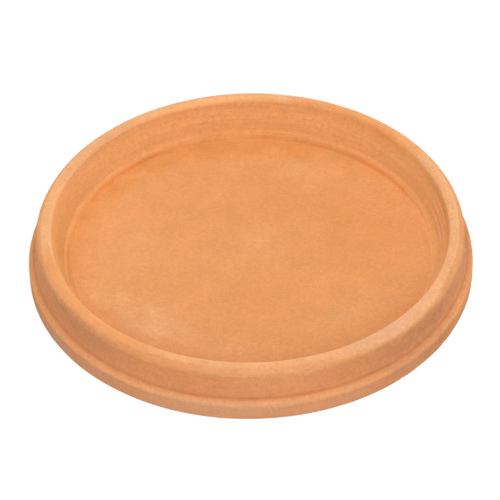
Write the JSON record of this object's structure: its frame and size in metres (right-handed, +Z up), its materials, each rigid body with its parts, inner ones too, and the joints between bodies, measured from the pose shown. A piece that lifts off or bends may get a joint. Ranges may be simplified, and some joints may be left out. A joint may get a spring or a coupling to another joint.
{
  "type": "plant saucer",
  "caption": "Round fired-clay plant saucer with a flat floor, a small inner ledge, a flared inner wall with a rolled lip, and a stepped collar round the foot.",
  "frame": {"origin": "middle of the ring that the saucer stands on, at ground level", "axes": "+Z straight up, along the axis that the saucer is turned about; X and Y lie on the ground and are alike"},
  "size_m": [0.24, 0.24, 0.03],
  "materials": {
    "terracotta": "matte"
  },
  "bodies": {
    "root": {"saucer": "terracotta"}
  },
  "joints": []
}
